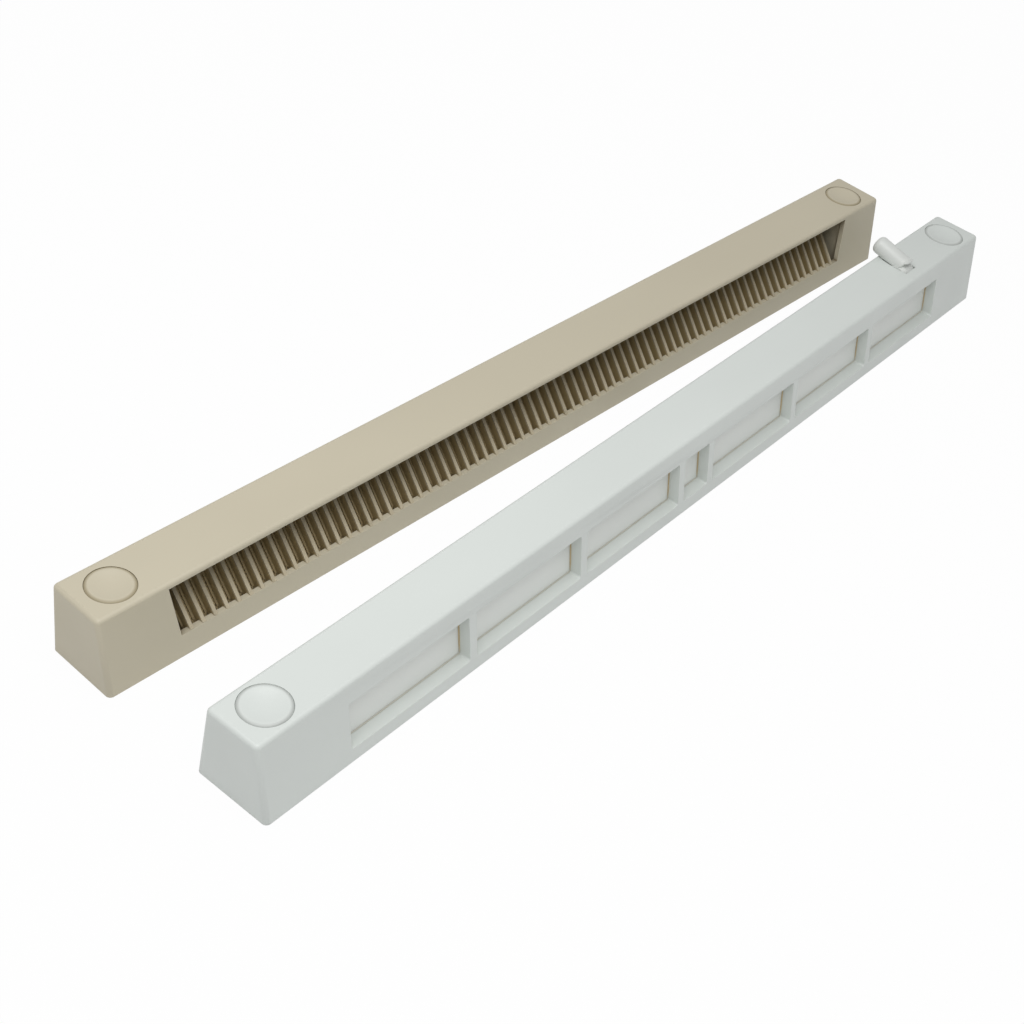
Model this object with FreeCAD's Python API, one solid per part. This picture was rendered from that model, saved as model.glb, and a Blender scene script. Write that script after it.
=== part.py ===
import FreeCAD, Part
import math
import os

# Window trickle vent: a white closable indoor vent and a beige outdoor hood, lying on their backs.
# Millimetres. Origin: middle of the indoor vent's back. X runs along its length, the seven windows
# face -Y, and +Z points away from the window frame.

os.makedirs("parts", exist_ok=True)
V = FreeCAD.Vector

# Indoor vent casing: size of its back, width of its top face and how far that is set over.
IN_LENGTH = 393.0
IN_WIDTH = 26.5
IN_TOP_WIDTH = 18.8
IN_TOP_SHIFT = 1.4
IN_HEIGHT = 26.5
IN_WALL = 1.6
IN_TOP = 1.6

# Outdoor hood casing, measured the same way, and where it lies beside the indoor vent.
OUT_LENGTH = 385.0
OUT_WIDTH = 25.3
OUT_TOP_WIDTH = 19.6
OUT_TOP_SHIFT = 1.9
OUT_HEIGHT = 25.7
OUT_WALL = 1.8
OUT_TOP = 1.6
OUT_X = -3.76
OUT_Y = 51.1
OUT_TURN = -2.77

# Rounding of both casings, and how far each end face leans in.
END_DRAFT = 0.2
CORNER_R = 1.6
TOP_EDGE_R = 1.35

# How far one form reaches into another that it is joined to, and how far a cut reaches past a face.
JOIN = 0.2
PAST = 1.0

# Windows of the indoor cover: three long ones, a short one in the middle, three long ones.
END_LAND = 32.6
CENTRE_HALF = 6.9
MULLION = 3.1
SILL_Z = 4.3
SILL_THICK = 1.6
TOP_LAND = 6.7
FRAME_DEPTH = 4.05
FRAME_RIM = 1.2
FRAME_SIDE = 3.0
WINDOW_CORNER_R = 0.8

# Screw caps, screw wells and screw holes.
IN_SCREW_INSET = 12.1
IN_SCREW_Y = 1.3
IN_CAP_R = 7.35
OUT_SCREW_INSET = 12.05
OUT_SCREW_Y = 1.6
OUT_CAP_R = 7.0
CAP_GAP = 0.35
CAP_THICK = 2.0
CAP_DISH = 0.5
CAP_EDGE = 0.4
CAP_LAND = 0.8
CAP_SEAT = 1.6
CAP_RING = 1.3
STEM_R = 4.2
STEM_BORE_R = 3.1
STEM_LENGTH = 8.0
STEM_SLIT = 1.2
STEM_NECK = 1.5
WELL_R = 4.6
WELL_FLOOR = 3.0
BOSS_WALL = 1.8
SCREW_HOLE_R = 2.25

# Air chamber of the indoor vent: wall between it and the hollow ends, which are END_BLOCK long.
END_BLOCK = 22.5
PARTITION = 1.6

# Spindle axis, shared by the flap, the lever and the bearings.
AXIS_DROP = 3.8
AXIS_BACK = 3.45
SPINDLE_R = 1.25
SPINDLE_STUB = 0.6
PRESS_GAP = 0.02
RUN_GAP = 0.06
BARREL_R = 1.9
CLEAR = 0.3

# Closing flap.
FLAP_OVERLAP = 1.7
FLAP_SETBACK = 4.4
FLAP_THICK = 1.5
FLAP_TUCK = 0.2
FLAP_ABOVE_AXIS = 0.8
FLANGE_THICK = 1.4
STRIP_HEIGHT = 1.0
STRIP_WIDTH = 1.2
STRIP_INSET = 2.0

# Soft window seal on the back of the window frame.
SEAL_THICK = 0.25
SEAL_SHOW = 0.35
SEAL_RIM = 1.0

# Bearings.
BEARING_NAMES = ["left_bearing", "inner_left_bearing", "inner_right_bearing", "right_bearing"]
BEARING_WIDTH = 3.6
BEARING_R = 2.5
BEARING_PLAY = 1.2
BEARING_FOOT = 3.0
FOOT_THICK = 1.2

# Finger lever.
LEVER_INSET = 47.2
LEVER_ANGLE = 14.5
LEVER_OFFSET = 4.4
HUB_R = 5.2
HUB_WIDTH = 6.9
HUB_EDGE = 1.0
FINGER_R = 3.45
FINGER_START = 0.4
FINGER_START_R = 2.5
FINGER_SWELL = 1.3
FINGER_LENGTH = 14.3
FINGER_DOME = 2.0
FINGER_FLAT = 2.6
TAB_LENGTH = 9.5
TAB_THICK = 1.6
SLOT_SIDE = 0.35
SLOT_END_Y = 9.2

# Detent spring.
SPRING_WIDTH = 6.0
SPRING_INSET = 1.5
SPRING_THICK = 0.4
SPRING_FOOT = 8.0
SPRING_BEND = 4.6
SPRING_LOW = 1.1

# Air slots of the back plate: four of one length.
BACK_THICK = 1.6
BACK_SLOT_WIDTH = 9.0
SLOT_MARGIN = 14.0
SLOT_BRIDGE = 6.0

# Hood opening and fins.
MOUTH_INSET = 24.0
MOUTH_DRAFT = 2.1
LIP_Z = 7.2
FIN_COUNT = 75
FIN_MARGIN = 6.0
FIN_THICK = 1.2
FIN_LEAN = 0.86
FIN_DEPTH = 3.2
FIN_BACKSET = 0.15
RAIL_TOP = 4.8
RAIL_HEIGHT = 2.0
RAIL_THICK = 1.3
TOP_RAIL = 1.3
FOOT_HALF = 9.0
FOOT_DEPTH = 11.0
FOOT_HEIGHT = 2.4
WEB_HALF = 1.0
WEB_TOP = 2.2

# Mesh behind the fins, and the frame that holds it.
MESH_CELLS = 58
MESH_ROWS = 3
MESH_BAR = 1.0
MESH_THICK = 0.8
MESH_FRAME = 1.3
MESH_SIDE = 4.9
MESH_START = 0.4
MESH_STOP = 1.0
MESH_RIM = 1.2
MESH_GAP = 0.15
FRAME_BAR = 2.0

INDOOR = (IN_LENGTH, IN_WIDTH, IN_TOP_WIDTH, IN_TOP_SHIFT, IN_HEIGHT)
HOOD = (OUT_LENGTH, OUT_WIDTH, OUT_TOP_WIDTH, OUT_TOP_SHIFT, OUT_HEIGHT)


def near_y(unit, z):
    """The sloping face that carries the windows, at height z."""
    length, width, top_width, shift, height = unit
    return -width / 2 + (shift - top_width / 2 + width / 2) / height * z


def far_y(unit, z):
    """The opposite long face at height z."""
    length, width, top_width, shift, height = unit
    return width / 2 + (shift + top_width / 2 - width / 2) / height * z


def end_x(unit, z):
    """The end faces at height z."""
    return unit[0] / 2 - END_DRAFT * z / unit[4]


# Sizes that follow from the ones above.
CHAMBER_HALF = IN_LENGTH / 2 - END_BLOCK
WINDOW_TOP = IN_HEIGHT - TOP_LAND
WINDOWS_END = IN_LENGTH / 2 - END_LAND
LONG_WINDOW = (WINDOWS_END - CENTRE_HALF - 3 * MULLION) / 3
FLAP_HALF = WINDOWS_END + FLAP_OVERLAP
FLAP_LOW = SILL_Z - FLAP_TUCK
AXIS_Z = IN_HEIGHT - AXIS_DROP
AXIS_Y = near_y(INDOOR, AXIS_Z) + FLAP_SETBACK + FLAP_THICK + AXIS_BACK
FLAP_HIGH = AXIS_Z + FLAP_ABOVE_AXIS
OUTER_BEARING = FLAP_HALF + BEARING_PLAY + BEARING_WIDTH / 2
INNER_BEARING = CENTRE_HALF + LONG_WINDOW + 1.5 * MULLION
BEARING_X = [-OUTER_BEARING, -INNER_BEARING, INNER_BEARING, OUTER_BEARING]
SPINDLE_HALF = OUTER_BEARING + BEARING_WIDTH / 2 + SPINDLE_STUB
LEVER_X = IN_LENGTH / 2 - LEVER_INSET
SLOT_HALF = HUB_WIDTH / 2 + SLOT_SIDE
BACK_SLOT = (CHAMBER_HALF - 2 * SLOT_MARGIN - SLOT_BRIDGE) / 2
OPEN_HALF = OUT_LENGTH / 2 - MOUTH_INSET
FIN_PITCH = 2 * (OPEN_HALF - FIN_MARGIN) / (FIN_COUNT - 1)
OUT_CEILING = OUT_HEIGHT - OUT_TOP
MESH_HALF = OPEN_HALF - MESH_SIDE
MESH_TOP = (OUT_CEILING - LIP_Z) * math.hypot(FIN_LEAN, 1.0) - MESH_STOP
MESH_PITCH = (2 * MESH_HALF - MESH_BAR) / MESH_CELLS
MESH_DEPTH = FIN_DEPTH + MESH_GAP


def window_edges():
    """Left and right edge of every window."""
    right = []
    for i in range(3):
        x = CENTRE_HALF + MULLION + i * (LONG_WINDOW + MULLION)
        right.append((x, x + LONG_WINDOW))
    left = [(-b, -a) for a, b in reversed(right)]
    return left + [(-CENTRE_HALF, CENTRE_HALF)] + right


def back_slot_centres():
    inner = SLOT_MARGIN + BACK_SLOT / 2
    outer = inner + BACK_SLOT + SLOT_BRIDGE
    return [-outer, -inner, inner, outer]


def frustum(unit, z0, z1, side=0.0, end=0.0):
    """The casing's own tapered block between two heights, set in from its faces."""
    rings = []
    for z in (z0, z1):
        x = end_x(unit, z) - end
        y0 = near_y(unit, z) + side
        y1 = far_y(unit, z) - side
        rings.append([V(-x, y0, z), V(x, y0, z), V(x, y1, z), V(-x, y1, z)])
    low, high = rings
    faces = [[low[3], low[2], low[1], low[0]], high]
    for i in range(4):
        j = (i + 1) % 4
        faces.append([low[i], low[j], high[j], high[i]])
    sides = [Part.Face(Part.makePolygon(pts + [pts[0]])) for pts in faces]
    block = Part.Solid(Part.Shell(sides))
    if block.Volume < 0:
        block.reverse()
    return block


def box(x0, x1, y0, y1, z0, z1):
    return Part.makeBox(x1 - x0, y1 - y0, z1 - z0, V(x0, y0, z0))


def upright(x, y, r, z0, z1):
    """Round post along Z."""
    return Part.makeCylinder(r, z1 - z0, V(x, y, z0))


def lengthwise(points, x0, x1):
    """A bar along X with the cross-section given as (y, z) points."""
    pts = [V(x0, y, z) for y, z in points]
    face = Part.Face(Part.makePolygon(pts + [pts[0]]))
    return face.extrude(V(x1 - x0, 0, 0))


def axle(x0, x1, r):
    """Round bar along X on the spindle's axis."""
    return Part.makeCylinder(r, x1 - x0, V(x0, AXIS_Y, AXIS_Z), V(1, 0, 0))


def round_block(body, height):
    """Rounds the four upright corners and the rim of the top face."""
    uprights = [e for e in body.Edges if e.BoundBox.ZLength > 0.9 * height]
    body = body.makeFillet(CORNER_R, uprights)
    rim = [e for e in body.Edges if e.BoundBox.ZMin > height * 0.999]
    return body.makeFillet(TOP_EDGE_R, rim)


def seam(shape):
    """Joins faces that lie in one plane."""
    return shape.removeSplitter()


def casing(unit, wall, top, screw_inset, screw_y, cap_r, partition_x):
    """Rounded outer body, hollow from the back, with a screw well at each end."""
    height = unit[4]
    reach = unit[1]
    outer = round_block(frustum(unit, 0, height), height)
    hollow = frustum(unit, -PAST, height - top, wall, wall)
    body = outer.cut(hollow)
    screw_x = unit[0] / 2 - screw_inset
    under = height - top / 2
    adds = []
    for side in (-1, 1):
        adds.append(upright(side * screw_x, screw_y, WELL_R + BOSS_WALL, 0, under))
        adds.append(upright(side * screw_x, screw_y, cap_r + CAP_GAP + CAP_RING, height - CAP_THICK - CAP_SEAT, under))
        x = side * partition_x
        adds.append(box(min(x, x + side * PARTITION), max(x, x + side * PARTITION), -reach, reach, 0, under))
    inner = frustum(unit, 0, height - top + JOIN, wall - JOIN, wall - JOIN)
    for add in adds:
        body = body.fuse(add.common(inner))
    for side in (-1, 1):
        x = side * screw_x
        body = body.cut(upright(x, screw_y, cap_r + CAP_GAP, height - CAP_THICK, height + PAST))
        body = body.cut(upright(x, screw_y, WELL_R, WELL_FLOOR, height + PAST))
        body = body.cut(upright(x, screw_y, SCREW_HOLE_R, -PAST, height))
    return body


def frame_strip(z0, z1, front, back, x0, x1):
    """A plate that follows the sloping face between two heights and two depths."""
    pts = [(near_y(INDOOR, z0) + front, z0), (near_y(INDOOR, z0) + back, z0)]
    pts += [(near_y(INDOOR, z1) + back, z1), (near_y(INDOOR, z1) + front, z1)]
    return lengthwise(pts, x0, x1)


def indoor_cover():
    """White casing: window frame, seven windows and the lever's slot."""
    body = casing(INDOOR, IN_WALL, IN_TOP, IN_SCREW_INSET, IN_SCREW_Y, IN_CAP_R, CHAMBER_HALF)
    end = WINDOWS_END + FRAME_SIDE
    body = body.fuse(frame_strip(SILL_Z - SILL_THICK, WINDOW_TOP + FRAME_RIM, IN_WALL - JOIN, FRAME_DEPTH, -end, end))
    for x0, x1 in window_edges():
        cutter = frame_strip(SILL_Z, WINDOW_TOP, -PAST, FRAME_DEPTH + PAST, x0, x1)
        corners = [e for e in cutter.Edges if e.BoundBox.YLength > FRAME_DEPTH and e.BoundBox.ZLength < PAST]
        body = body.cut(cutter.makeFillet(WINDOW_CORNER_R, corners))
    x0 = LEVER_X - SLOT_HALF
    x1 = LEVER_X + SLOT_HALF
    low = IN_HEIGHT - 1.4 * IN_TOP
    high = IN_HEIGHT + PAST
    slot = box(x0, x1, AXIS_Y, SLOT_END_Y, low, high)
    round_end = axle(x0, x1, HUB_R + SLOT_SIDE).common(box(x0, x1, -IN_WIDTH, SLOT_END_Y, low, high))
    return seam(body.cut(slot.fuse(round_end)))


def air_slot(x, length, width, z0, z1):
    """Round-ended slot through the back plate."""
    half = length / 2 - width / 2
    slot = box(x - half, x + half, -width / 2, width / 2, z0, z1)
    slot = slot.fuse(upright(x - half, 0, width / 2, z0, z1))
    return slot.fuse(upright(x + half, 0, width / 2, z0, z1))


def indoor_back_plate():
    """Thin plate that closes the back between the two end walls, with four air slots."""
    plate = frustum(INDOOR, 0, BACK_THICK, IN_WALL + JOIN, 0)
    half = CHAMBER_HALF - JOIN
    plate = plate.common(box(-half, half, -IN_WIDTH, IN_WIDTH, 0, BACK_THICK))
    for x in back_slot_centres():
        plate = plate.cut(air_slot(x, BACK_SLOT, BACK_SLOT_WIDTH, -PAST, BACK_THICK + PAST))
    return plate


def flap_front(z):
    return near_y(INDOOR, z) + FLAP_SETBACK


def flap_blade():
    """The plain panel of the flap, without its barrel."""
    return frame_strip(FLAP_LOW, FLAP_HIGH, FLAP_SETBACK, FLAP_SETBACK + FLAP_THICK, -FLAP_HALF, FLAP_HALF)


def closing_flap():
    """Panel, top flange and barrel, notched for the bearings and the lever's hub."""
    back = flap_front(FLAP_HIGH) + FLAP_THICK
    front = back - FLAP_THICK / 2
    low = FLAP_HIGH - FLANGE_THICK
    flange = box(-FLAP_HALF, FLAP_HALF, front, AXIS_Y, low, FLAP_HIGH)
    barrel = axle(-FLAP_HALF, FLAP_HALF, BARREL_R)
    flap = flap_blade().fuse(flange).fuse(barrel)
    flap = flap.cut(axle(-FLAP_HALF - PAST, FLAP_HALF + PAST, SPINDLE_R + PRESS_GAP))
    notches = [(x, BEARING_WIDTH / 2 + CLEAR) for x in BEARING_X[1:3]]
    notches.append((LEVER_X, HUB_WIDTH / 2 + CLEAR / 3))
    reach = BARREL_R + PAST
    for x, half in notches:
        flap = flap.cut(box(x - half, x + half, back, AXIS_Y + reach, AXIS_Z - reach, AXIS_Z + reach))
    return seam(flap)


def flap_seal():
    """Soft strip along the top edge of the flap, left of the lever."""
    y = flap_front(FLAP_HIGH) + FLAP_THICK / 2
    half = STRIP_WIDTH / 2
    top = FLAP_HIGH + STRIP_HEIGHT
    section = [(y - half, FLAP_HIGH), (y + half, FLAP_HIGH), (y + half * 0.7, top), (y - half * 0.7, top)]
    return lengthwise(section, -FLAP_HALF + STRIP_INSET, LEVER_X - SLOT_HALF - STRIP_INSET / 4)


def window_seal():
    """Thin soft plate on the back of the window frame, with a hole behind every window."""
    back = FRAME_DEPTH + SEAL_THICK
    end = WINDOWS_END + FLAP_OVERLAP
    low = SILL_Z - SILL_THICK + SEAL_SHOW
    seal = frame_strip(low, WINDOW_TOP + SEAL_RIM, FRAME_DEPTH, back, -end, end)
    for x0, x1 in window_edges():
        z0 = SILL_Z + SEAL_SHOW
        z1 = WINDOW_TOP - SEAL_SHOW
        hole = frame_strip(z0, z1, FRAME_DEPTH - PAST, back + PAST, x0 + SEAL_SHOW, x1 - SEAL_SHOW)
        seal = seal.cut(hole)
    return seal


def bearing(x):
    """Block hung from the ceiling of the cover with the spindle's bore in it."""
    x0 = x - BEARING_WIDTH / 2
    x1 = x + BEARING_WIDTH / 2
    ceiling = IN_HEIGHT - IN_TOP
    block = axle(x0, x1, BEARING_R)
    block = block.fuse(box(x0, x1, AXIS_Y - BEARING_R, AXIS_Y + BEARING_R, AXIS_Z, ceiling))
    foot = box(x0, x1, AXIS_Y, AXIS_Y + BEARING_R + BEARING_FOOT, ceiling - FOOT_THICK, ceiling)
    over = box(x0 - PAST, x1 + PAST, -IN_WIDTH, IN_WIDTH, ceiling, ceiling + BEARING_R)
    block = block.fuse(foot).cut(over)
    return seam(block.cut(axle(x0 - PAST, x1 + PAST, SPINDLE_R + RUN_GAP)))


def finger():
    """Rounded finger of the lever: swells out of the hub, ends in a dome, flat underneath."""
    a = math.radians(LEVER_ANGLE)
    along = V(0, math.cos(a), math.sin(a))
    up = V(0, -math.sin(a), math.cos(a))
    start = V(LEVER_X, AXIS_Y, AXIS_Z) + up * LEVER_OFFSET

    def at(distance, radius):
        return start + along * distance + up * radius

    turn = math.sqrt(0.5) * FINGER_DOME
    tip = FINGER_LENGTH
    dome = FINGER_DOME
    edges = [
        Part.makeLine(at(FINGER_START, 0), at(FINGER_START, FINGER_START_R)),
        Part.makeLine(at(FINGER_START, FINGER_START_R), at(FINGER_SWELL, FINGER_R)),
        Part.makeLine(at(FINGER_SWELL, FINGER_R), at(tip - dome, FINGER_R)),
        Part.Arc(at(tip - dome, FINGER_R), at(tip - dome + turn, FINGER_R - dome + turn), at(tip, FINGER_R - dome)).toShape(),
        Part.makeLine(at(tip, FINGER_R - dome), at(tip, 0)),
        Part.makeLine(at(tip, 0), at(FINGER_START, 0)),
    ]
    body = Part.Face(Part.Wire(edges)).revolve(start, along, 360)
    below = Part.makeBox(4 * FINGER_R, 2 * FINGER_LENGTH, 2 * FINGER_R)
    corner = at(-FINGER_LENGTH / 2, -FINGER_FLAT - 2 * FINGER_R) - V(2 * FINGER_R, 0, 0)
    below.Placement = FreeCAD.Placement(corner, FreeCAD.Rotation(V(1, 0, 0), LEVER_ANGLE))
    return body.cut(below)


def lever():
    """Hub round the spindle, a tab down the back of the flap, and the rounded finger."""
    x0 = LEVER_X - HUB_WIDTH / 2
    x1 = LEVER_X + HUB_WIDTH / 2
    hub = axle(x0, x1, HUB_R)
    hub = hub.makeChamfer(HUB_EDGE, [e for e in hub.Edges if e.BoundBox.XLength < PAST / 2])
    back = flap_front(FLAP_HIGH) + FLAP_THICK
    low = AXIS_Z - TAB_LENGTH
    tab_y = flap_front(low) + FLAP_THICK
    tab = lengthwise([(tab_y, low), (tab_y + TAB_THICK, low), (back + 2 * TAB_THICK, AXIS_Z), (back, AXIS_Z)], x0, x1)
    body = hub.fuse(tab).fuse(finger())
    body = body.cut(axle(x0 - PAST, x1 + PAST, SPINDLE_R + PRESS_GAP))
    body = body.cut(flap_blade())
    body = body.cut(box(x0 - PAST, x1 + PAST, -IN_WIDTH, back, SILL_Z, FLAP_HIGH))
    return seam(body)


def flap_spindle():
    return axle(-SPINDLE_HALF, SPINDLE_HALF, SPINDLE_R)


def detent_spring():
    """Bent leaf under the ceiling whose tip stands beside the flap's barrel."""
    ceiling = IN_HEIGHT - IN_TOP
    thin = SPRING_THICK
    tip = AXIS_Y + BARREL_R + CLEAR
    foot = AXIS_Y + SPRING_FOOT
    bend = AXIS_Y + SPRING_BEND
    low = AXIS_Z - SPRING_LOW
    knee = AXIS_Z + SPRING_LOW / 2
    section = [(foot, ceiling), (bend, ceiling), (tip + thin / 4, knee), (tip, low)]
    section += [(tip + thin, low), (tip + 1.25 * thin, knee - thin / 4), (bend + thin / 2, ceiling - thin), (foot, ceiling - thin)]
    x1 = FLAP_HALF - SPRING_INSET
    return lengthwise(section, x1 - SPRING_WIDTH, x1)


def screw_cap(unit, screw_inset, screw_y, cap_r, side):
    """Dished disc with a slit tube below that plugs into the screw well."""
    height = unit[4]
    x = side * (unit[0] / 2 - screw_inset)
    under = height - CAP_THICK
    disc = upright(x, screw_y, cap_r, under, height)
    rim = [e for e in disc.Edges if e.BoundBox.ZMin > height * 0.999]
    disc = disc.makeChamfer(CAP_EDGE, rim)
    flat_r = cap_r - CAP_LAND
    ball_r = (flat_r ** 2 + CAP_DISH ** 2) / (2 * CAP_DISH)
    disc = disc.cut(Part.makeSphere(ball_r, V(x, screw_y, height - CAP_DISH + ball_r)))
    low = under - STEM_LENGTH
    stem = upright(x, screw_y, STEM_R, low, under)
    stem = stem.cut(upright(x, screw_y, STEM_BORE_R, low - PAST, under))
    slit = STEM_SLIT / 2
    neck = under - STEM_NECK
    stem = stem.cut(box(x - slit, x + slit, screw_y - cap_r, screw_y + cap_r, low - PAST, neck))
    stem = stem.cut(box(x - cap_r, x + cap_r, screw_y - slit, screw_y + slit, low - PAST, neck))
    return seam(disc.fuse(stem))


def fin_line(z):
    """Front edge of the fins: flush with the lip at the bottom, leaning back above."""
    return near_y(HOOD, LIP_Z) + FIN_LEAN * (z - LIP_Z)


def slanted(s, depth):
    """Point (y, z): s mm up the grille's front plane from the lip, depth mm behind it."""
    size = math.hypot(FIN_LEAN, 1.0)
    y = near_y(HOOD, LIP_Z) + FIN_LEAN / size * s + depth / size
    z = LIP_Z + s / size - FIN_LEAN / size * depth
    return (y, z)


def fin_back(z):
    """Back edge of the fins at height z."""
    y, low = slanted(0, FIN_DEPTH)
    return y + FIN_LEAN * (z - low)


def hood_mouth():
    """The long opening, a little wider at its top than at the lip."""
    low = OPEN_HALF - MOUTH_DRAFT
    front = -OUT_WIDTH
    back = far_y(HOOD, 0)
    pts = [(-low, LIP_Z), (low, LIP_Z), (OPEN_HALF, OUT_CEILING), (-OPEN_HALF, OUT_CEILING)]
    pts = [V(x, front, z) for x, z in pts]
    shape = Part.Face(Part.makePolygon(pts + [pts[0]])).extrude(V(0, back - front, 0))
    depth = OUT_WALL + JOIN
    section = [(front, LIP_Z), (near_y(HOOD, LIP_Z) + depth, LIP_Z)]
    section += [(near_y(HOOD, OUT_CEILING) + depth, OUT_CEILING), (front, OUT_CEILING)]
    return shape.common(lengthwise(section, -OPEN_HALF, OPEN_HALF))


def hood_shell():
    """Beige canopy with its long opening, and a foot and web in the middle."""
    body = casing(HOOD, OUT_WALL, OUT_TOP, OUT_SCREW_INSET, OUT_SCREW_Y, OUT_CAP_R, OPEN_HALF)
    body = body.cut(hood_mouth())
    wall_y = far_y(HOOD, 0) - OUT_WALL
    foot = box(-FOOT_HALF, FOOT_HALF, wall_y - FOOT_DEPTH, wall_y + 2 * JOIN, 0, FOOT_HEIGHT)
    high = OUT_CEILING + JOIN
    section = [(wall_y - FOOT_DEPTH, 0), (wall_y + 2 * JOIN, 0), (wall_y + JOIN, high), (wall_y - WEB_TOP, high)]
    web = lengthwise(section, -WEB_HALF, WEB_HALF)
    return seam(body.fuse(foot).fuse(web))


def fin_grille():
    """Row of upright fins between a bottom rail behind the lip and a top rail."""
    top = OUT_CEILING - JOIN / 2
    behind_lip = near_y(HOOD, LIP_Z) + OUT_WALL + JOIN / 4
    above_lip = LIP_Z + JOIN / 4
    foot = RAIL_TOP - JOIN
    fin_profile = [
        (fin_line(LIP_Z) + FIN_BACKSET, above_lip),
        (fin_line(top) + FIN_BACKSET, top),
        (fin_back(top), top),
        (max(fin_back(foot), behind_lip + JOIN), foot),
        (behind_lip, foot),
        (behind_lip, above_lip),
    ]
    half = OPEN_HALF - MOUTH_DRAFT - JOIN
    body = lengthwise(
        [
            (behind_lip, RAIL_TOP),
            (behind_lip + RAIL_THICK / 2, RAIL_TOP),
            (behind_lip + RAIL_THICK, RAIL_TOP - RAIL_THICK / 2),
            (behind_lip + RAIL_THICK, RAIL_TOP - RAIL_HEIGHT),
            (behind_lip, RAIL_TOP - RAIL_HEIGHT),
        ],
        -half,
        half,
    )
    low = top - TOP_RAIL
    rail = [(fin_line(low) + 2 * JOIN, low), (fin_line(top) + 2 * JOIN, top), (fin_back(top), top), (fin_back(low), low)]
    others = [lengthwise(rail, -half, half)]
    for i in range(FIN_COUNT):
        x = (i - (FIN_COUNT - 1) / 2) * FIN_PITCH
        others.append(lengthwise(fin_profile, x - FIN_THICK / 2, x + FIN_THICK / 2))
    return seam(body.fuse(others))


def slanted_plate(x0, x1, s0, s1, d0, d1):
    """Flat plate parallel to the grille."""
    return lengthwise([slanted(s0, d0), slanted(s1, d0), slanted(s1, d1), slanted(s0, d1)], x0, x1)


def insect_mesh():
    """Thin perforated sheet close behind the fins."""
    d0 = MESH_DEPTH
    d1 = d0 + MESH_THICK
    body = slanted_plate(-MESH_HALF, MESH_HALF, MESH_START, MESH_TOP, d0, d1)
    low = MESH_START + MESH_RIM
    row_pitch = (MESH_TOP - MESH_RIM - low + MESH_BAR) / MESH_ROWS
    holes = []
    for row in range(MESH_ROWS):
        s0 = low + row * row_pitch
        for i in range(MESH_CELLS):
            x0 = -MESH_HALF + MESH_BAR + i * MESH_PITCH
            x1 = x0 + MESH_PITCH - MESH_BAR
            holes.append(slanted_plate(x0, x1, s0, s0 + row_pitch - MESH_BAR, d0 - PAST, d1 + PAST))
    return body.cut(Part.makeCompound(holes))


def mesh_frame():
    """Flat rim that holds the mesh to the grille, with a bar at each third."""
    d0 = MESH_DEPTH + MESH_THICK
    d1 = d0 + MESH_FRAME
    body = slanted_plate(-MESH_HALF, MESH_HALF, MESH_START, MESH_TOP, d0, d1)
    third = (2 * MESH_HALF - 2 * MESH_RIM - 2 * FRAME_BAR) / 3
    for i in range(3):
        x0 = -MESH_HALF + MESH_RIM + i * (third + FRAME_BAR)
        s0 = MESH_START + MESH_RIM
        s1 = MESH_TOP - MESH_RIM
        body = body.cut(slanted_plate(x0, x0 + third, s0, s1, d0 - PAST, d1 + PAST))
    return body


def place_hood(shape):
    """Lays a hood piece beside the indoor vent."""
    out = shape.copy()
    out.rotate(V(0, 0, 0), V(0, 0, 1), OUT_TURN)
    out.translate(V(OUT_X, OUT_Y, 0))
    return out


def save(name, shape):
    solids = shape.Solids
    if len(solids) == 1:
        shape = solids[0]
    print(name, "solids", len(solids), "valid", shape.isValid(), "volume", round(shape.Volume))
    shape.exportStep("parts/" + name + ".step")


save("indoor_cover", indoor_cover())
save("indoor_back_plate", indoor_back_plate())
save("closing_flap", closing_flap())
save("flap_seal", flap_seal())
save("window_seal", window_seal())
save("flap_spindle", flap_spindle())
save("finger_lever", lever())
save("detent_spring", detent_spring())
for name, x in zip(BEARING_NAMES, BEARING_X):
    save(name, bearing(x))
for name, side in (("indoor_left_cap", -1), ("indoor_right_cap", 1)):
    save(name, screw_cap(INDOOR, IN_SCREW_INSET, IN_SCREW_Y, IN_CAP_R, side))
save("hood_shell", place_hood(hood_shell()))
save("fin_grille", place_hood(fin_grille()))
save("insect_mesh", place_hood(insect_mesh()))
save("mesh_frame", place_hood(mesh_frame()))
for name, side in (("hood_left_cap", -1), ("hood_right_cap", 1)):
    save(name, place_hood(screw_cap(HOOD, OUT_SCREW_INSET, OUT_SCREW_Y, OUT_CAP_R, side)))
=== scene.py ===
import math

import bpy
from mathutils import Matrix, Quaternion, Vector


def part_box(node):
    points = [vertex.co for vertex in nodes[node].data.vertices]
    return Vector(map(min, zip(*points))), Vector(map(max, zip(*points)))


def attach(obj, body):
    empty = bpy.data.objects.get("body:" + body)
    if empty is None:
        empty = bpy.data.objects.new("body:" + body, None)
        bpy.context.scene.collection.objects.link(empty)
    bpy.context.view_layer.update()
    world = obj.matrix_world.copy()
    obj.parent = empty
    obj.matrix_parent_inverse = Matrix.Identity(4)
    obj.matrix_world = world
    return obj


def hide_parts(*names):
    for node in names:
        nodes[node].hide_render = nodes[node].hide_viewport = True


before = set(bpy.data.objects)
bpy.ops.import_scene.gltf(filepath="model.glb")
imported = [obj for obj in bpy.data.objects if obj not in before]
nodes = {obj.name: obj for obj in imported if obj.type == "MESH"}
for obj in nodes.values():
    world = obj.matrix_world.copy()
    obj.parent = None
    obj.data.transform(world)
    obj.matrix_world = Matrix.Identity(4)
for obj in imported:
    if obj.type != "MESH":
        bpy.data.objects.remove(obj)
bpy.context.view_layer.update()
scene = bpy.context.scene


def centre_of(node):
    """The middle of a CAD node's box at rest."""
    low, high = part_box(node)
    return tuple((a + b) / 2 for a, b in zip(low, high))


def rounded(metres):
    """Takes off the error of the frame's meshes, which are single precision."""
    return round(metres, 7)


# Materials. Every one is built from nodes in object space, so it needs no image and no UVs.


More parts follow.
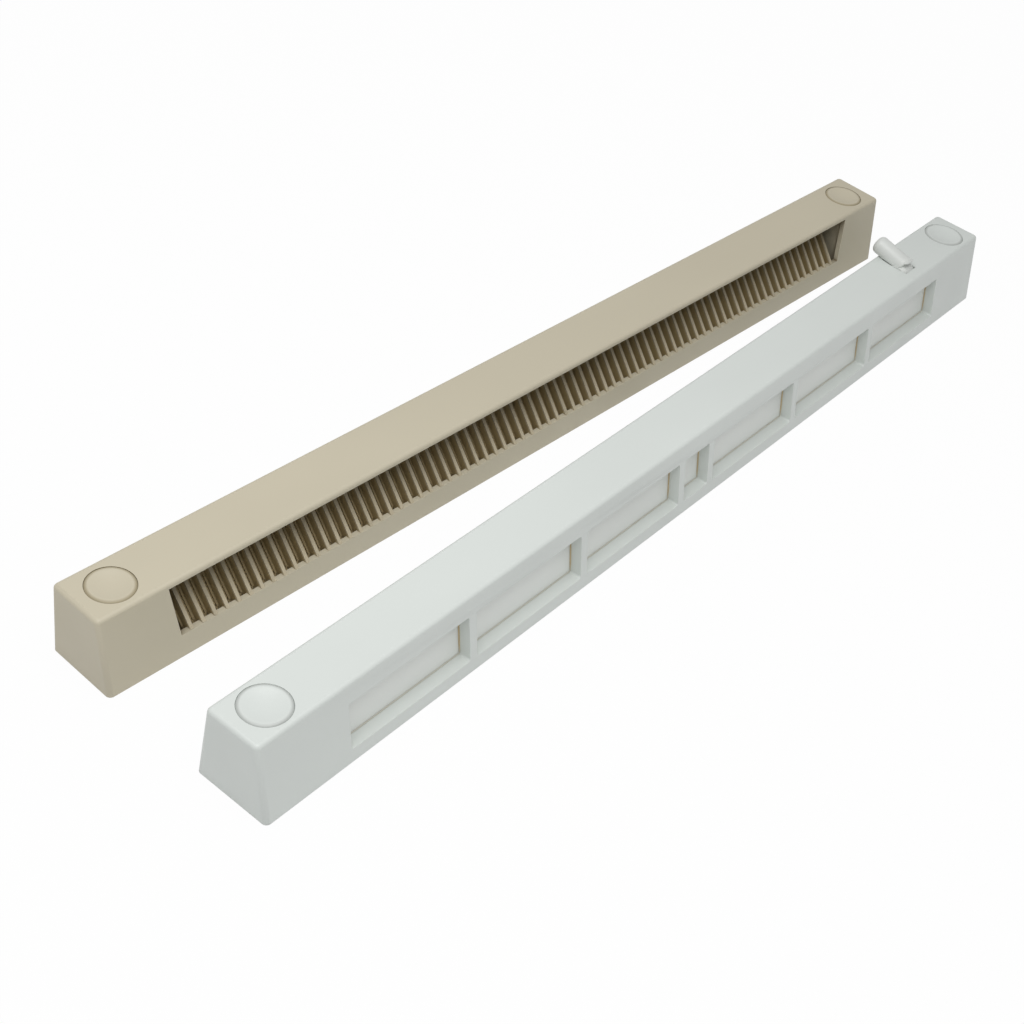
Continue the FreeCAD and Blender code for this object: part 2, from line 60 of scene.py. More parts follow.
def linear(r, g, b):
    """A colour given as it is seen on the screen, 0 to 255."""
    out = []
    for v in (r, g, b):
        v = v / 255
        out.append(v / 12.92 if v <= 0.04045 else ((v + 0.055) / 1.055) ** 2.4)
    return (out[0], out[1], out[2], 1.0)


def scaled(colour, share):
    return (colour[0] * share, colour[1] * share, colour[2] * share, 1.0)


def new_material(name, roughness, specular=0.5):
    mat = bpy.data.materials.new(name)
    mat.use_nodes = True
    shader = mat.node_tree.nodes["Principled BSDF"]
    shader.inputs["Roughness"].default_value = roughness
    shader.inputs["Specular IOR Level"].default_value = specular
    return mat, mat.node_tree, shader


def noise(tree, scale, detail=3.0, stretch=(1.0, 1.0, 1.0)):
    """Noise over the object's own coordinates; scale is in waves per metre."""
    coord = tree.nodes.new("ShaderNodeTexCoord")
    mapping = tree.nodes.new("ShaderNodeMapping")
    mapping.inputs["Scale"].default_value = stretch
    tex = tree.nodes.new("ShaderNodeTexNoise")
    tex.inputs["Scale"].default_value = scale
    tex.inputs["Detail"].default_value = detail
    tree.links.new(coord.outputs["Object"], mapping.inputs["Vector"])
    tree.links.new(mapping.outputs["Vector"], tex.inputs["Vector"])
    return tex.outputs["Fac"]


def between(tree, fac, low, high, a, b):
    """Maps fac from low..high to a..b."""
    node = tree.nodes.new("ShaderNodeMapRange")
    node.inputs["From Min"].default_value = low
    node.inputs["From Max"].default_value = high
    node.inputs["To Min"].default_value = a
    node.inputs["To Max"].default_value = b
    tree.links.new(fac, node.inputs["Value"])
    return node.outputs["Result"]


def blend_colour(tree, fac, a, b):
    """Goes from a to b with fac. Each is a colour or the output of a node."""
    node = tree.nodes.new("ShaderNodeMix")
    node.data_type = "RGBA"
    tree.links.new(fac, node.inputs["Factor"])
    for letter, colour in (("A", a), ("B", b)):
        socket = next(i for i in node.inputs if i.name == letter and i.type == "RGBA")
        if isinstance(colour, tuple):
            socket.default_value = colour
        else:
            tree.links.new(colour, socket)
    return node.outputs["Result"]


def bump(tree, height, distance, strength, before=None):
    node = tree.nodes.new("ShaderNodeBump")
    node.inputs["Distance"].default_value = distance
    node.inputs["Strength"].default_value = strength
    tree.links.new(height, node.inputs["Height"])
    if before is not None:
        tree.links.new(before, node.inputs["Normal"])
    return node.outputs["Normal"]


# Moulded plastic: waves per metre of its tone, gloss and surface, how much they are drawn out along
# the part, how far the gloss goes each way, and the depth and strength of its waves and grain.
TONE_WAVES = 28.0
GLOSS_WAVES = 60.0
SURFACE_WAVES = 45.0
TONE_STRETCH = (0.35, 1.0, 1.0)
SURFACE_STRETCH = (0.4, 1.0, 1.0)
GLOSSIER = 0.05
DULLER = 0.06
WAVE_DEPTH = 0.0004
WAVE_STRENGTH = 0.12
GRAIN_DEPTH = 0.00004
GRAIN_STRENGTH = 0.35


def moulded(name, colour, roughness, grain, shade):
    """Moulded plastic. Its tone goes slowly between the colour and the colour times shade, with
    changes of gloss, a slight waviness and a fine grain, which is in waves per metre."""
    mat, tree, shader = new_material(name, roughness)
    slow = noise(tree, TONE_WAVES, detail=2.0, stretch=TONE_STRETCH)
    tone = between(tree, slow, 0.35, 0.65, 0.0, 1.0)
    mixed = blend_colour(tree, tone, colour, scaled(colour, shade))
    tree.links.new(mixed, shader.inputs["Base Color"])
    patches = noise(tree, GLOSS_WAVES)
    gloss = between(tree, patches, 0.3, 0.7, roughness - GLOSSIER, roughness + DULLER)
    tree.links.new(gloss, shader.inputs["Roughness"])
    surface = noise(tree, SURFACE_WAVES, detail=1.0, stretch=SURFACE_STRETCH)
    wave = bump(tree, surface, WAVE_DEPTH, WAVE_STRENGTH)
    fine = bump(tree, noise(tree, grain, detail=2.0), GRAIN_DEPTH, GRAIN_STRENGTH, wave)
    tree.links.new(fine, shader.inputs["Normal"])
    return mat


# The hood in its own coordinates, in metres: its caps' place across it, the foot and slope of its
# front, the lip below its mouth, and the lean of the fins, as a run back for each rise of one.
HOOD_CAP_Y = 0.0016
HOOD_NEAR = -0.01265
HOOD_SLOPE = 0.184825
LIP_Z = 0.0072
LIP_Y = HOOD_NEAR + HOOD_SLOPE * LIP_Z
FIN_LEAN = 0.86


def hood_place():
    """The hood's turn about the vertical and its middle in the shared frame, from its two caps."""
    left, right = centre_of("hood_left_cap"), centre_of("hood_right_cap")
    degrees = math.degrees(math.atan2(right[1] - left[1], right[0] - left[0]))
    turn = math.radians(round(degrees, 4))
    x = (left[0] + right[0]) / 2 + HOOD_CAP_Y * math.sin(turn)
    y = (left[1] + right[1]) / 2 - HOOD_CAP_Y * math.cos(turn)
    return turn, Vector((rounded(x), rounded(y), 0.0))


HOOD_TURN, HOOD_AT = hood_place()
# Painted shade on the fins: how far behind their front edges it starts and is full, and the
# heights between which the front edges grow dark.
FIN_FRONT = 0.0003
FIN_SIDE = 0.0009
FIN_LIGHT_Z = 0.009
FIN_DARK_Z = 0.021
# How open a point of the shell is where its shade is full, and where it ends.
HOLLOW_CLOSED = 0.5
HOLLOW_OPEN = 0.95


def own_colour(mat):
    """The material's tree, its shader and what feeds the base colour so far."""
    shader = mat.node_tree.nodes["Principled BSDF"]
    return mat.node_tree, shader, shader.inputs["Base Color"].links[0].from_socket


def object_place(tree):
    coord = tree.nodes.new("ShaderNodeTexCoord")
    split = tree.nodes.new("ShaderNodeSeparateXYZ")
    tree.links.new(coord.outputs["Object"], split.inputs["Vector"])
    return coord.outputs["Object"], split.outputs


def shade_hollows(mat, dark, reach):
    """Darker in the piece's own hollows, where little light reaches."""
    tree, shader, clean = own_colour(mat)
    open_share = tree.nodes.new("ShaderNodeAmbientOcclusion")
    open_share.samples = 12
    open_share.only_local = True
    open_share.inputs["Distance"].default_value = reach
    share = between(tree, open_share.outputs["AO"], HOLLOW_CLOSED, HOLLOW_OPEN, 0.0, 1.0)
    tree.links.new(blend_colour(tree, share, dark, clean), shader.inputs["Base Color"])


def shade_behind(mat, side, top):
    """Painted shade on the fins: darker behind their front edges and darker towards their tops."""
    tree, shader, front = own_colour(mat)
    place, parts = object_place(tree)
    size = math.hypot(FIN_LEAN, 1.0)
    across = (-math.sin(HOOD_TURN) / size, math.cos(HOOD_TURN) / size, -FIN_LEAN / size)
    lip = LIP_Y / size - FIN_LEAN * LIP_Z / size
    edge = HOOD_AT[0] * across[0] + HOOD_AT[1] * across[1] + lip
    dot = tree.nodes.new("ShaderNodeVectorMath")
    dot.operation = "DOT_PRODUCT"
    dot.inputs[1].default_value = across
    tree.links.new(place, dot.inputs[0])
    behind = between(tree, dot.outputs["Value"], edge + FIN_FRONT, edge + FIN_SIDE, 0.0, 1.0)
    high = between(tree, parts["Z"], FIN_LIGHT_Z, FIN_DARK_Z, 0.0, 1.0)
    face = blend_colour(tree, high, front, top)
    tree.links.new(blend_colour(tree, behind, face, side), shader.inputs["Base Color"])


def paint_rim_shade(mat, centre, inner, outer, low, high, dark):
    """Painted shade towards a cap's rim, from the inner to the outer radius and above the low
    height.
    """
    tree, shader, clean = own_colour(mat)
    parts = object_place(tree)[1]
    flat = tree.nodes.new("ShaderNodeCombineXYZ")
    tree.links.new(parts["X"], flat.inputs["X"])
    tree.links.new(parts["Y"], flat.inputs["Y"])
    away = tree.nodes.new("ShaderNodeVectorMath")
    away.operation = "DISTANCE"
    away.inputs[1].default_value = (centre[0], centre[1], 0.0)
    tree.links.new(flat.outputs["Vector"], away.inputs[0])
    near_rim = between(tree, away.outputs["Value"], inner, outer, 0.0, 1.0)
    near_top = between(tree, parts["Z"], low, high, 0.0, 1.0)
    share = tree.nodes.new("ShaderNodeMath")
    share.operation = "MULTIPLY"
    tree.links.new(near_rim, share.inputs[0])
    tree.links.new(near_top, share.inputs[1])
    mixed = blend_colour(tree, share.outputs[0], clean, dark)
    tree.links.new(mixed, shader.inputs["Base Color"])


# Rubber and steel: waves per metre of their grain, tone and drawn lines.
RUBBER_GRAIN = 2500.0
RUBBER_TONE = 900.0
STEEL_LINES = 700.0


def rough_rubber(name):
    mat, tree, shader = new_material(name, roughness=0.75, specular=0.3)
    grain = bump(tree, noise(tree, RUBBER_GRAIN), distance=0.00006, strength=0.5)
    tree.links.new(grain, shader.inputs["Normal"])
    return mat, tree, shader


def rubber(name, colour, shade):
    """Rubber whose tone goes from the colour to the given share of it."""
    mat, tree, shader = rough_rubber(name)
    mixed = blend_colour(tree, noise(tree, RUBBER_TONE), colour, scaled(colour, shade))
    tree.links.new(mixed, shader.inputs["Base Color"])
    return mat


def window_rubber(name, post, sill, low, high):
    """Tan beside the windows' posts and greyer along their sills; low and high are heights."""
    mat, tree, shader = rough_rubber(name)
    shade = between(tree, object_place(tree)[1]["Z"], low, high, 0.0, 1.0)
    tree.links.new(blend_colour(tree, shade, sill, post), shader.inputs["Base Color"])
    return mat


def drawn_steel(name):
    mat, tree, shader = new_material(name, roughness=0.32)
    shader.inputs["Metallic"].default_value = 1.0
    lines = noise(tree, STEEL_LINES, stretch=(0.04, 1.0, 1.0))
    mixed = blend_colour(tree, lines, linear(168, 168, 170), linear(205, 205, 206))
    tree.links.new(mixed, shader.inputs["Base Color"])
    tree.links.new(between(tree, lines, 0.3, 0.7, 0.26, 0.42), shader.inputs["Roughness"])
    fine = bump(tree, lines, distance=0.00003, strength=0.3)
    tree.links.new(fine, shader.inputs["Normal"])
    return mat


def white_plastic(name):
    return moulded(name, linear(219, 224, 220), roughness=0.36, grain=2200.0, shade=0.965)


def beige_plastic(name):
    return moulded(name, linear(201, 193, 171), roughness=0.46, grain=1700.0, shade=0.955)


white = white_plastic("white_plastic")
# The flap's white is lighter than the casing's: painted light against the shade of its recess.
flap_white_lightened = moulded(
    "flap_plastic_lightened", linear(240, 243, 239), roughness=0.42, grain=1800.0, shade=0.97
)
lever_white = moulded(
    "lever_plastic", linear(219, 222, 218), roughness=0.36, grain=2600.0, shade=0.97
)
beige = beige_plastic("beige_plastic")
shell_beige = beige_plastic("shell_plastic")
shade_hollows(shell_beige, dark=linear(98, 80, 46), reach=0.014)
fin_beige = moulded("fin_plastic", linear(196, 184, 158), roughness=0.5, grain=1700.0, shade=0.93)
shade_behind(fin_beige, side=linear(160, 142, 103), top=linear(96, 84, 60))
bearing = moulded(
    "bearing_plastic", linear(228, 228, 222), roughness=0.3, grain=3000.0, shade=0.97
)
mesh_tan = moulded("mesh_plastic", linear(168, 150, 112), roughness=0.7, grain=2500.0, shade=0.9)
seal = rubber("seal_rubber", linear(92, 74, 50), shade=1.6)
tan_seal = window_rubber(
    "tan_seal", post=linear(206, 186, 148), sill=linear(208, 206, 196), low=0.0045, high=0.0075
)
steel = drawn_steel("steel")

FINISH = {
    "indoor_cover": white,
    "indoor_back_plate": white,
    "indoor_left_cap": white,
    "indoor_right_cap": white,
    "closing_flap": flap_white_lightened,
    "finger_lever": lever_white,
    "flap_seal": seal,
    "window_seal": tan_seal,
    "flap_spindle": steel,
    "detent_spring": steel,
    "left_bearing": bearing,
    "inner_left_bearing": bearing,
    "inner_right_bearing": bearing,
    "right_bearing": bearing,
    "hood_shell": shell_beige,
    "hood_left_cap": beige,
    "hood_right_cap": beige,
    "fin_grille": fin_beige,
    "insect_mesh": mesh_tan,
    "mesh_frame": mesh_tan,
}
for name, mat in FINISH.items():
    mesh = nodes[name].data
    mesh.materials.clear()
    mesh.materials.append(mat)


# Widths of the rounded edges, and how near two points are to count as one.
CASING_EDGE = 0.00035
FINE_EDGE = 0.0002
SAME_POINT = 0.000002


def soften(name, width):
    """Rounds the sharp edges a little, as moulding does. The CAD's own mesh stays as it is."""
    o = nodes[name]
    weld = o.modifiers.new("join_faces", "WELD")
    weld.merge_threshold = SAME_POINT
    edge = o.modifiers.new("edge_round", "BEVEL")
    edge.width = width
    edge.segments = 2
    edge.limit_method = "ANGLE"
    edge.angle_limit = math.radians(35.0)
    edge.use_clamp_overlap = True
    edge.harden_normals = True


for name in ("indoor_cover", "hood_shell"):
    soften(name, CASING_EDGE)
for name in ("finger_lever", "closing_flap", "fin_grille"):
    soften(name, FINE_EDGE)


# Pieces that stand for CAD nodes, or add to them, with finer detail. Lengths in metres.


def in_hood(x, y, z):
    """From the hood's own coordinates to the shared frame."""
    c, s = math.cos(HOOD_TURN), math.sin(HOOD_TURN)
    return Vector((c * x - s * y, s * x + c * y, z)) + HOOD_AT


def new_piece(name, verts, faces, mat, body, node=None):
    """A mesh that rides on a body, takes a slot's finish and may stand for a CAD node."""
    mesh = bpy.data.meshes.new(name)
    mesh.from_pydata([tuple(v) for v in verts], [], faces)
    mesh.validate()
    mesh.materials.append(mat)
    o = bpy.data.objects.new(name, mesh)
    scene.collection.objects.link(o)
    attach(o, body)
    if node is not None:
        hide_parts(node)
    return o


def shade_round(o, degrees):
    """Smooth shading, with a crisp line where faces meet at more than the given angle."""
    o.data.shade_smooth()
    o.data.set_sharp_from_angle(angle=math.radians(degrees))


def on_circle(centre, r, angle, z):
    return (centre[0] + r * math.cos(angle), centre[1] + r * math.sin(angle), z)


def lathe(profile, centre, steps):
    """Turns a closed (radius, height) profile about a vertical line, which radius 0 lies on."""
    verts, faces, rings = [], [], []
    for r, z in profile:
        ring = []
        for k in range(1 if r == 0 else steps):
            a = 2 * math.pi * k / steps
            ring.append(len(verts))
            verts.append(Vector(on_circle(centre, r, a, z)))
        rings.append(ring)
    pairs = list(zip(rings, rings[1:]))
    if profile[0][0] > 0:
        pairs.append((rings[-1], rings[0]))
    for a, b in pairs:
        for k in range(steps):
            j = (k + 1) % steps
            if len(a) == 1:
                faces.append((a[0], b[k], b[j]))
            elif len(b) == 1:
                faces.append((a[j], a[k], b[0]))
            else:
                faces.append((a[k], b[k], b[j], a[j]))
    return verts, faces


def tube_quarter(centre, r0, r1, z0, z1, middle, half, steps):
    """A part of a tube's wall, half an angle each way from the middle one."""
    verts, faces = [], []
    for k in range(steps + 1):
        a = middle - half + 2 * half * k / steps
        for r, z in ((r0, z0), (r1, z0), (r1, z1), (r0, z1)):
            verts.append(Vector(on_circle(centre, r, a, z)))
    for k in range(steps):
        for m in range(4):
            n = (m + 1) % 4
            faces.append((4 * k + m, 4 * k + n, 4 * k + 4 + n, 4 * k + 4 + m))
    faces.append((3, 2, 1, 0))
    faces.append((4 * steps, 4 * steps + 1, 4 * steps + 2, 4 * steps + 3))
    return verts, faces


def joined(parts):
    verts, faces = [], []
    for v, f in parts:
        faces += [tuple(i + len(verts) for i in face) for face in f]
        verts += v
    return verts, faces


# Screw caps: depth of the dish, width of the land round it, height above the CAD cap, the rim's
# radius, drop and flare, depth of the skirt, and the stem's radii, end, neck and slit.
CAP_DISH = 0.0009
CAP_LAND = 0.0010
CAP_PROUD = 0.00025
CAP_ROUND = 0.0008
CAP_DROP = 0.0006
CAP_FLARE = 0.0003
CAP_SKIRT = 0.0020
STEM_IN = 0.0031
STEM_OUT = 0.0042
STEM_END = 0.0100
STEM_NECK = 0.0035
STEM_SLIT = 0.0012
# Straight steps round the disc, the neck and each quarter of the stem, and along the cap's curves.
DISC_STEPS = 72
NECK_STEPS = 48
QUARTER_STEPS = 10
DISH_STEPS = 10
ROUND_STEPS = 6
# Painted shade towards a cap's rim: where it starts and ends, in from the rim and down from the
# top.
SHADE_IN = 0.0009
SHADE_OUT = 0.0001
SHADE_LOW = 0.0012
SHADE_HIGH = 0.0006


def screw_cap(node, mat, dark):
    """Dished cap with a softly rounded rim and a slit tube below, in the CAD cap's place."""
    low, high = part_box(node)
    x, y = centre_of(node)[:2]
    top, radius = high[2], (high[0] - low[0]) / 2
    reach = (radius - SHADE_IN, radius - SHADE_OUT, top - SHADE_LOW, top - SHADE_HIGH)
    paint_rim_shade(mat, (x, y), *reach, dark)
    flat = radius - CAP_LAND
    crest = top + CAP_PROUD
    profile = []
    for k in range(DISH_STEPS + 1):
        r = flat * k / DISH_STEPS
        profile.append((r, crest - CAP_DISH * (1 - (r / flat) ** 2)))
    edge = radius - CAP_ROUND
    wide = CAP_ROUND + CAP_FLARE
    for k in range(ROUND_STEPS + 1):
        a = math.pi / 2 * k / ROUND_STEPS
        profile.append((edge + wide * math.sin(a), crest - CAP_DROP * (1 - math.cos(a))))
    profile += [(radius + CAP_FLARE, top - CAP_SKIRT), (0, top - CAP_SKIRT)]
    disc = lathe(profile, (x, y), DISC_STEPS)
    neck = [
        (STEM_IN, top - CAP_SKIRT),
        (STEM_OUT, top - CAP_SKIRT),
        (STEM_OUT, top - STEM_NECK),
        (STEM_IN, top - STEM_NECK),
    ]
    parts = [disc, lathe(neck, (x, y), NECK_STEPS)]
    half = math.pi / 4 - STEM_SLIT / (STEM_IN + STEM_OUT)
    turn = HOOD_TURN if node.startswith("hood") else 0.0
    wall = (STEM_IN, STEM_OUT, top - STEM_END, top - STEM_NECK)
    for k in range(4):
        middle = math.radians(45 + 90 * k) + turn
        parts.append(tube_quarter((x, y), *wall, middle, half, QUARTER_STEPS))
    verts, faces = joined(parts)
    cap = new_piece(node + "_dished", verts, faces, mat, node + "_body", node)
    shade_round(cap, degrees=40)


# Each cap has its own copy of its plastic, with a ring of painted shade at its rim.
for name in ("indoor_left_cap", "indoor_right_cap"):
    screw_cap(name, white_plastic(name + "_plastic"), linear(184, 188, 184))
for name in ("hood_left_cap", "hood_right_cap"):
    screw_cap(name, beige_plastic(name + "_plastic"), linear(162, 151, 123))


# Insect mesh: half its length, its span up the grille's plane and its place behind it, then the
# width and spacing of its wires, the width of its rim and the thickness of one layer of wires.
MESH_HALF = 0.1636
MESH_LOW = 0.0004
MESH_HIGH = 0.02129
MESH_FRONT = 0.00335
MESH_WIRE = 0.0007
MESH_PITCH = 0.0011
MESH_RIM = 0.0012
MESH_LAYER = 0.0004


def on_grille(x, s, depth):
    """Point s up the grille's slanted front plane and depth behind it."""
    size = math.hypot(FIN_LEAN, 1.0)
    y = LIP_Y + (FIN_LEAN * s + depth) / size
    z = LIP_Z + (s - FIN_LEAN * depth) / size
    return in_hood(x, y, z)


def wire(x0, x1, s0, s1, depth, thick):
    """Straight bar in the grille's plane, between two places along it and two up it."""
    verts = []
    for d in (depth, depth + thick):
        verts += [on_grille(x, s, d) for x, s in ((x0, s0), (x1, s0), (x1, s1), (x0, s1))]
    faces = [(0, 3, 2, 1), (4, 5, 6, 7), (0, 1, 5, 4), (1, 2, 6, 5), (2, 3, 7, 6), (3, 0, 4, 7)]
    return verts, faces


def fine_mesh():
    """Insect mesh at the fineness of a real one: upright wires in front of level ones, in a rim."""
    parts = []
    front, back = MESH_FRONT, MESH_FRONT + MESH_LAYER
    length = 2 * (MESH_HALF - MESH_RIM)
    count = int(length / MESH_PITCH)
    for i in range(1, count):
        x = -MESH_HALF + MESH_RIM + length * i / count
        span = (x - MESH_WIRE / 2, x + MESH_WIRE / 2)
        parts.append(wire(*span, MESH_LOW, MESH_HIGH, front, MESH_LAYER))
    width = MESH_HIGH - MESH_LOW - 2 * MESH_RIM
    rows = int(width / MESH_PITCH)
    for i in range(1, rows):
        s = MESH_LOW + MESH_RIM + width * i / rows
        span = (s - MESH_WIRE / 2, s + MESH_WIRE / 2)
        parts.append(wire(-MESH_HALF, MESH_HALF, *span, back, MESH_LAYER))
    for span in ((MESH_LOW, MESH_LOW + MESH_RIM), (MESH_HIGH - MESH_RIM, MESH_HIGH)):
        parts.append(wire(-MESH_HALF, MESH_HALF, *span, front, 2 * MESH_LAYER))
    for span in ((-MESH_HALF, -MESH_HALF + MESH_RIM), (MESH_HALF - MESH_RIM, MESH_HALF)):
        parts.append(wire(*span, MESH_LOW, MESH_HIGH, front, 2 * MESH_LAYER))
    verts, faces = joined(parts)
    new_piece("insect_mesh_wires", verts, faces, mesh_tan, "root", "insect_mesh")


fine_mesh()


# The lever's middle along the vent, its tilt at rest and the axis that it turns on.
LEVER_X = rounded(centre_of("finger_lever")[0])
LEVER_TURN = math.radians(14.5)
AXIS_Y, AXIS_Z = (rounded(v) for v in centre_of("flap_spindle")[1:])
# The heel's sections in millimetres: place along the finger, lowest, highest and half width. Its
# tip follows in metres.
HEEL_SECTIONS = (
    (1.6, 0.95, 7.86, 3.46),
    (1.1, 1.2, 7.86, 3.45),
    (0.6, 2.0, 7.85, 3.40),
    (0.25, 3.4, 7.83, 3.28),
    (-0.05, 5.9, 7.80, 3.10),
    (-0.5, 6.4, 7.70, 2.75),
    (-0.9, 6.85, 7.52, 2.1),
    (-1.15, 7.13, 7.35, 1.2),
)
HEEL_TIP_ALONG = -0.00122
HEEL_TIP_UP = 0.00724
HEEL_STEPS = 28
# The slot's edge in millimetres about the lever's middle: (y, half width) of its inner line, the
# half width and far end of the opening that it lies in, its upper face, level with the cover's, and
# its thickness.
SLOT_LINE = (
    (-3.0, 3.62),
    (2.0, 3.62),
    (3.5, 3.55),
    (5.0, 3.32),
    (6.2, 3.1),
    (7.2, 2.88),
    (8.0, 2.7),
    (8.45, 2.3),
)
SLOT_HALF = 3.78
SLOT_FAR = 9.18
SLOT_TOP = 1000 * rounded(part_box("indoor_cover")[1][2])
SLOT_THICK = 0.4


def on_lever(x, along, up):
    """Point beside the spindle: along the finger, and up from it at right angles."""
    c, s = math.cos(LEVER_TURN), math.sin(LEVER_TURN)
    return Vector((LEVER_X + x, AXIS_Y + along * c - up * s, AXIS_Z + along * s + up * c))


def lever_heel():
    """Rounded heel that carries the finger's thick end back over the hub."""
    verts, faces, steps = [], [], HEEL_STEPS
    for along, low, high, half in HEEL_SECTIONS:
        for k in range(steps):
            a = 2 * math.pi * k / steps
            up = (low + high) / 2 + (high - low) / 2 * math.sin(a)
            verts.append(on_lever(half * math.cos(a) / 1000, along / 1000, up / 1000))
    last = (len(HEEL_SECTIONS) - 1) * steps
    for n in range(0, last, steps):
        for k in range(steps):
            j = (k + 1) % steps
            faces.append((n + k, n + j, n + steps + j, n + steps + k))
    verts.append(on_lever(0, HEEL_TIP_ALONG, HEEL_TIP_UP))
    for k in range(steps):
        faces.append((last + k, last + (k + 1) % steps, len(verts) - 1))
    faces.append(tuple(reversed(range(steps))))
    heel = new_piece("lever_heel", verts, faces, lever_white, "flap")
    shade_round(heel, degrees=60)


def plate(outline, low, top):
    """Flat plate with the given outline in millimetres about the lever's middle."""
    n = len(outline)
    verts = []
    for z in (low, top):
        verts += [Vector((LEVER_X + x / 1000, y / 1000, z / 1000)) for x, y in outline]
    faces = [tuple(reversed(range(n))), tuple(range(n, 2 * n))]
    for k in range(n):
        j = (k + 1) % n
        faces.append((k, j, n + j, n + k))
    return verts, faces


def slot_edge():
    """Edge of the lever's slot, drawn in to the width that the finger needs there."""
    parts = []
    for side in (-1, 1):
        out = side * SLOT_HALF
        for (y0, w0), (y1, w1) in zip(SLOT_LINE, SLOT_LINE[1:]):
            quad = [(side * w0, y0), (out, y0), (out, y1), (side * w1, y1)]
            parts.append(plate(quad, SLOT_TOP - SLOT_THICK, SLOT_TOP))
    near = SLOT_LINE[-1][0]
    end = [(-SLOT_HALF, near), (SLOT_HALF, near), (SLOT_HALF, SLOT_FAR), (-SLOT_HALF, SLOT_FAR)]
    parts.append(plate(end, SLOT_TOP - SLOT_THICK, SLOT_TOP))
    verts, faces = joined(parts)
    new_piece("lever_slot_edge", verts, faces, white, "root")


lever_heel()
slot_edge()


# Floor, light and camera.

PURE_WHITE = (1.0, 1.0, 1.0, 1.0)
SOFT_LIGHT = 0.45
# Half sizes of the floor and of the plain ground under each unit, and the heights of both.
FLOOR_HALF = 6.0
VENT_PATCH = (0.1955, 0.0125)
HOOD_PATCH = (0.1915, 0.0119)
FLOOR_Z = -0.00005
PATCH_Z = -0.00003
# The photograph's camera, fitted to the corners of both units: its place and turn, its focal length
# and sensor in millimetres, the picture's width, and how far its axis is off the middle, in pixels.
CAMERA_AT = (-0.394339, -0.197737, 0.347535)
CAMERA_TURN = Quaternion((0.842217, 0.324139, -0.229607, -0.364533))
CAMERA_LENS = 58.243
SENSOR_WIDTH = 36.0
PICTURE_WIDTH = 1024
AXIS_OFF_X = -18.0
AXIS_OFF_Y = 88.0


def floor_material(name, white_share, shade):
    """Ground of the given shade, which takes the object's shadow, with a share of plain white as
    the camera and reflections see it."""
    mat = bpy.data.materials.new(name)
    mat.use_nodes = True
    tree = mat.node_tree
    tree.nodes.clear()
    out = tree.nodes.new("ShaderNodeOutputMaterial")
    diffuse = tree.nodes.new("ShaderNodeBsdfDiffuse")
    diffuse.inputs["Color"].default_value = shade
    glow = tree.nodes.new("ShaderNodeEmission")
    glow.inputs["Color"].default_value = PURE_WHITE
    glow.inputs["Strength"].default_value = 1.0
    rays = tree.nodes.new("ShaderNodeLightPath")
    seen = tree.nodes.new("ShaderNodeMath")
    seen.operation = "MAXIMUM"
    both = tree.nodes.new("ShaderNodeMath")
    both.operation = "MAXIMUM"
    share = tree.nodes.new("ShaderNodeMath")
    share.operation = "MULTIPLY"
    share.inputs[1].default_value = white_share
    mix = tree.nodes.new("ShaderNodeMixShader")
    tree.links.new(rays.outputs["Is Camera Ray"], seen.inputs[0])
    tree.links.new(rays.outputs["Is Glossy Ray"], seen.inputs[1])
    tree.links.new(seen.outputs[0], both.inputs[0])
    tree.links.new(rays.outputs["Is Transmission Ray"], both.inputs[1])
    tree.links.new(both.outputs[0], share.inputs[0])
    tree.links.new(share.outputs[0], mix.inputs["Fac"])
    tree.links.new(diffuse.outputs[0], mix.inputs[1])
    tree.links.new(glow.outputs[0], mix.inputs[2])
    tree.links.new(mix.outputs[0], out.inputs["Surface"])
    return mat


def ground(name, half_x, half_y, place, turn, mat):
    mesh = bpy.data.meshes.new(name)
    corners = [(-1, -1), (1, -1), (1, 1), (-1, 1)]
    mesh.from_pydata([(half_x * a, half_y * b, 0) for a, b in corners], [], [(0, 1, 2, 3)])
    mesh.materials.append(mat)
    o = bpy.data.objects.new(name, mesh)
    o.location = place
    o.rotation_euler.z = turn
    scene.collection.objects.link(o)


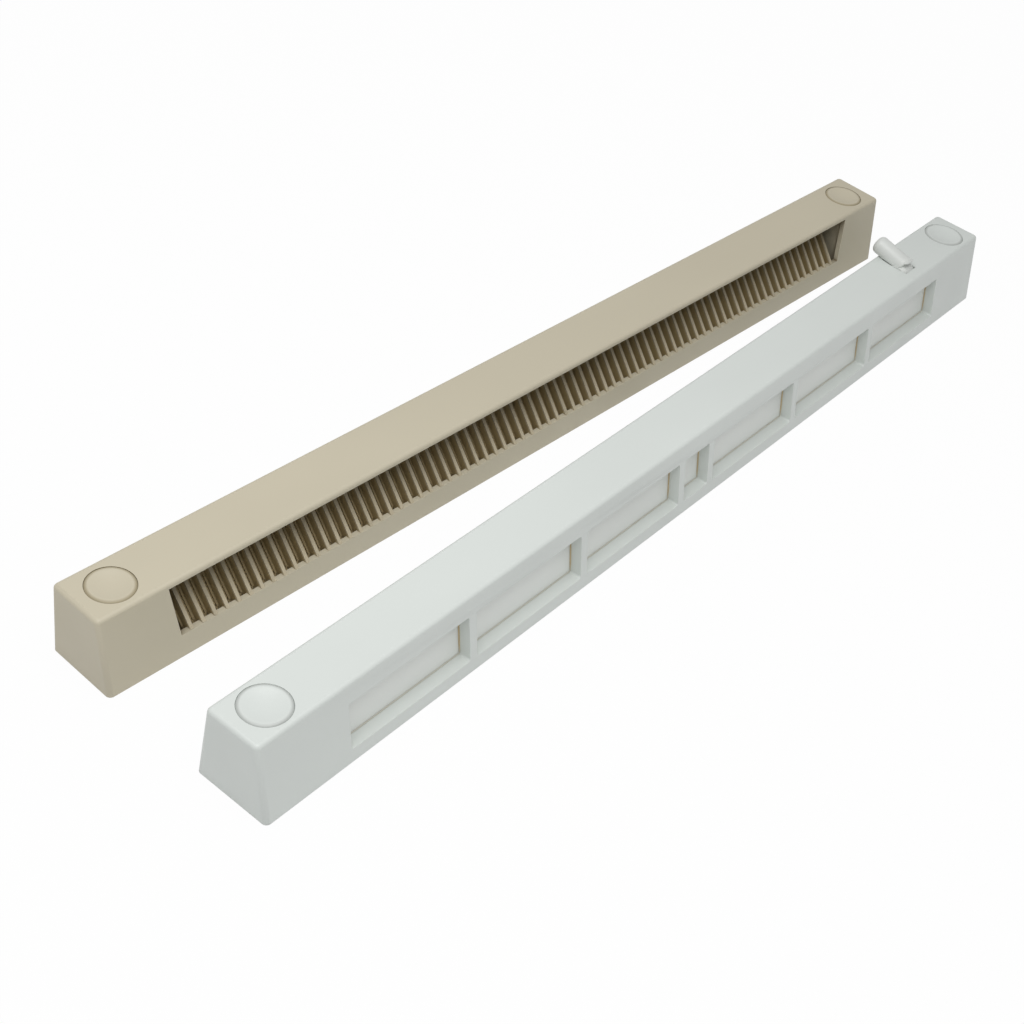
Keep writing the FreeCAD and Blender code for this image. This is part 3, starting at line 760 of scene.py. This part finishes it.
def make_floor():
    """A wide white floor, and plain ground without its white share inside each unit's outline;
    under the hood that ground is tan, as painted shade.
    """
    pale = floor_material("floor_white", white_share=0.97, shade=(0.76, 0.76, 0.76, 1.0))
    ground("floor", FLOOR_HALF, FLOOR_HALF, (0, 0, FLOOR_Z), 0.0, pale)
    grey = floor_material("floor_shaded", white_share=0.0, shade=(0.86, 0.86, 0.86, 1.0))
    ground("floor_in_vent", *VENT_PATCH, (0, 0, PATCH_Z), 0.0, grey)
    # Under the hood the ground is tan: painted shade that makes the hood's inside look dim brown.
    dark = floor_material("floor_painted_shade", white_share=0.0, shade=linear(190, 170, 130))
    ground("floor_in_hood", *HOOD_PATCH, (HOOD_AT[0], HOOD_AT[1], PATCH_Z), HOOD_TURN, dark)


def make_world():
    """Soft light from all round, and plain white where the camera sees past the floor."""
    world = bpy.data.worlds.new("studio")
    scene.world = world
    world.use_nodes = True
    tree = world.node_tree
    tree.nodes.clear()
    out = tree.nodes.new("ShaderNodeOutputWorld")
    soft = tree.nodes.new("ShaderNodeBackground")
    soft.inputs["Color"].default_value = PURE_WHITE
    soft.inputs["Strength"].default_value = SOFT_LIGHT
    clear = tree.nodes.new("ShaderNodeBackground")
    clear.inputs["Color"].default_value = PURE_WHITE
    clear.inputs["Strength"].default_value = 1.0
    rays = tree.nodes.new("ShaderNodeLightPath")
    mix = tree.nodes.new("ShaderNodeMixShader")
    tree.links.new(rays.outputs["Is Camera Ray"], mix.inputs["Fac"])
    tree.links.new(soft.outputs[0], mix.inputs[1])
    tree.links.new(clear.outputs[0], mix.inputs[2])
    tree.links.new(mix.outputs[0], out.inputs["Surface"])


def area_lamp(name, place, target, size, power):
    data = bpy.data.lights.new(name, "AREA")
    data.shape = "DISK"
    data.size = size
    data.energy = power
    o = bpy.data.objects.new(name, data)
    o.location = place
    o.rotation_euler = (Vector(target) - Vector(place)).to_track_quat("-Z", "Y").to_euler()
    scene.collection.objects.link(o)


def make_camera():
    data = bpy.data.cameras.new("camera")
    data.sensor_width = SENSOR_WIDTH
    data.lens = CAMERA_LENS
    data.shift_x = AXIS_OFF_X / PICTURE_WIDTH
    data.shift_y = AXIS_OFF_Y / PICTURE_WIDTH
    data.clip_start = 0.01
    data.clip_end = 50.0
    o = bpy.data.objects.new("camera", data)
    o.location = CAMERA_AT
    o.rotation_mode = "QUATERNION"
    o.rotation_quaternion = CAMERA_TURN
    scene.collection.objects.link(o)
    scene.camera = o


make_floor()
make_world()
area_lamp("overhead", place=(-0.22, -0.03, 0.6), target=(-0.12, 0.02, 0), size=0.6, power=2.5)
make_camera()
scene.view_settings.view_transform = "Standard"
